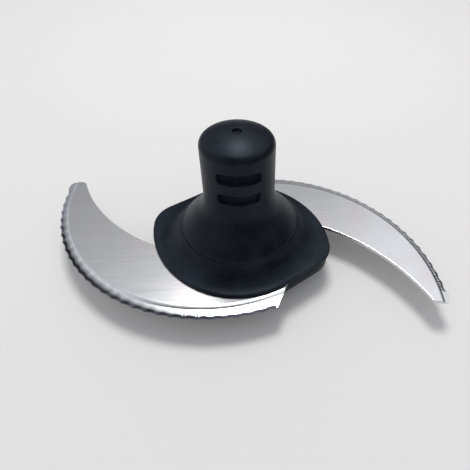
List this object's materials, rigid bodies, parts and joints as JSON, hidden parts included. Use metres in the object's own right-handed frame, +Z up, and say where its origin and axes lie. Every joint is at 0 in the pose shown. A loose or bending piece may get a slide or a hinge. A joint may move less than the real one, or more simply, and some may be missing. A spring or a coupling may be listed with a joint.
{
  "type": "food processor blade",
  "caption": "Food processor blade: a domed hub with finger grooves, a flared flange and a flat S-shaped cutter with scalloped crescent wings.",
  "frame": {"origin": "on the hub's axis, in the plane that the foot ring stands on", "axes": "+Z up along the hub's axis, +X towards the side where the second wing's tip lies, +Y away from the picture's camera"},
  "size_m": [0.1628, 0.0828, 0.067],
  "materials": {
    "hub_plastic": "satin moulded",
    "cutter_steel": "brushed, with a ground edge",
    "base_plastic": "satin moulded"
  },
  "bodies": {
    "root": {"hub_shell": "hub_plastic", "blade_plate": "cutter_steel", "drive_base": "base_plastic"}
  },
  "joints": []
}
